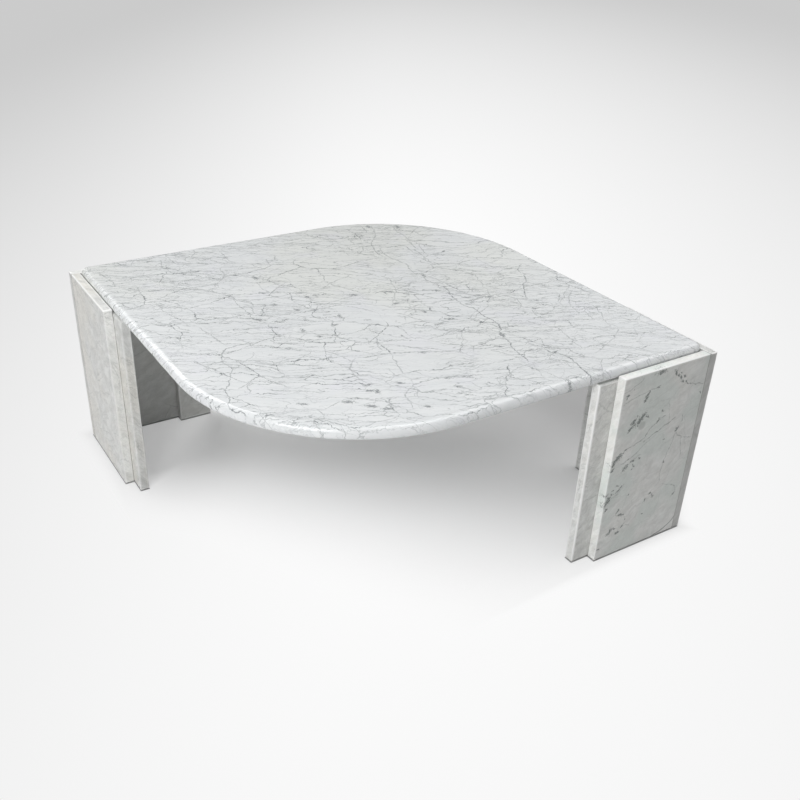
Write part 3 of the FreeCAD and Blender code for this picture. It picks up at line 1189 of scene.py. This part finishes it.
def floor_tone(graph, place):
    """The floor's plain tone, which falls off in ovals."""
    axes = graph.axes(graph.mapped(place, turn=floor_oval_turn, shift=floor_oval_shift))
    lengthwise = graph.math("DIVIDE", axes[0], floor_oval_length)
    sideways = graph.most(graph.math("DIVIDE", axes[1], floor_oval_right),
                          graph.math("DIVIDE", axes[1], -floor_oval_left))
    flat = graph.node("ShaderNodeCombineXYZ", {0: lengthwise, 1: sideways}).outputs[0]
    reach = graph.vector_math("LENGTH", flat, output="Value")
    return graph.ramp(reach, *floor_tone_span, floor_tone_near, floor_tone_far)


def floor_material():
    """White paper, with painted shade in its colour under the slabs and under the back right of the top. Away
    from the table the camera sees it in a plain tone that darkens with distance.
    """
    graph = Graph("studio_floor")
    place = graph.object_place()
    footprint = under_slabs(graph, place)
    # The paper's colour holds painted shade under the back right of the top, and next under the slabs
    paper = graph.mix(deep_shade(graph, place), grey(floor_colour), grey(deep_shade_colour))
    graph.look({
        "Base Color": graph.mix(footprint, paper, grey(contact_shade_colour)),
        "Roughness": 0.9,
        "Specular IOR Level": 0.1,
    })
    plain = graph.node("ShaderNodeEmission", {"Color": floor_tone(graph, place)}).outputs[0]
    open_floor = graph.minus(1.0, footprint)
    away = graph.product(open_floor_share(graph, place), open_floor, seen_directly(graph))
    surface = graph.node("ShaderNodeMixShader", {0: away, 1: graph.shader.outputs[0], 2: plain})
    graph.feed(graph.tree.nodes["Material Output"].inputs["Surface"], surface.outputs[0])
    return graph.material


def add_floor():
    mesh = bpy.data.meshes.new("studio_floor")
    corners = [(x * floor_half, y * floor_half, -floor_drop) for x, y in ((-1, -1), (1, -1), (1, 1), (-1, 1))]
    mesh.from_pydata(corners, [], [(0, 1, 2, 3)])
    floor = bpy.data.objects.new("studio_floor", mesh)
    bpy.context.scene.collection.objects.link(floor)
    dress(floor, floor_material())


softbox_target = Vector((0, 0, 0.3))
softbox_distance = 2.6
softbox_size = 1.2
# Azimuth and elevation in degrees, and watts. Azimuth 0 is in front of the table, and 90 on its right.
softboxes = {
    "front_light": (-9, 31, 40.0),
    "left_light": (-100, 35, 11.0),
    "back_left_light": (-120, 45, 17.0),
    "back_light": (155, 53, 6.0),
    "back_right_light": (120, 45, 10.0),
    "right_light": (90, 70, 20.0),
    "right_fill": (50, 25, 1.2),
}
world_light = 0.05


def add_softbox(name, azimuth, elevation, power):
    """A square lamp that faces the table."""
    turn, rise = math.radians(azimuth), math.radians(elevation)
    outward = Vector((math.sin(turn) * math.cos(rise), -math.cos(turn) * math.cos(rise), math.sin(rise)))
    light = bpy.data.lights.new(name, "AREA")
    light.shape = "SQUARE"
    light.size = softbox_size
    light.energy = power
    lamp = bpy.data.objects.new(name, light)
    bpy.context.scene.collection.objects.link(lamp)
    lamp.location = softbox_target + outward * softbox_distance
    lamp.rotation_euler = outward.to_track_quat("Z", "Y").to_euler()
    lamp.visible_camera = False


def add_world():
    """Even light from all round, and a pale background behind the floor's edge."""
    world = bpy.data.worlds.new("studio_world")
    bpy.context.scene.world = world
    world.use_nodes = True
    tree = world.node_tree
    lit = tree.nodes["Background"]
    lit.inputs["Color"].default_value = grey(1)
    lit.inputs["Strength"].default_value = world_light
    seen = tree.nodes.new("ShaderNodeBackground")
    seen.inputs["Color"].default_value = grey(floor_tone_far)
    path = tree.nodes.new("ShaderNodeLightPath")
    choice = tree.nodes.new("ShaderNodeMixShader")
    tree.links.new(path.outputs["Is Camera Ray"], choice.inputs[0])
    tree.links.new(lit.outputs[0], choice.inputs[1])
    tree.links.new(seen.outputs[0], choice.inputs[2])
    tree.links.new(choice.outputs[0], tree.nodes["World Output"].inputs[0])


# The photo's view, solved from the table's corners
camera_place = Vector((0.42814, -1.78566, 1.23633))
camera_right = Vector((0.97433635, 0.22256469, 0.03366939))
camera_up = Vector((-0.14169712, 0.49021608, 0.86000589))
camera_lens = 42.230                  # millimetres, on a sensor 36 mm wide
camera_sensor = 36.0
camera_shift = (0.0061018, 0.0294067)


def add_camera():
    data = bpy.data.cameras.new("photo_view")
    data.lens = camera_lens
    data.sensor_width = camera_sensor
    data.shift_x, data.shift_y = camera_shift
    camera = bpy.data.objects.new("photo_view", data)
    bpy.context.scene.collection.objects.link(camera)
    turn = Matrix((camera_right, camera_up, camera_right.cross(camera_up))).transposed().to_4x4()
    camera.matrix_world = Matrix.Translation(camera_place) @ turn
    bpy.context.scene.camera = camera


add_table()
add_floor()
for lamp_name, lamp_values in softboxes.items():
    add_softbox(lamp_name, *lamp_values)
add_world()
add_camera()
bpy.context.scene.view_settings.view_transform = "Standard"
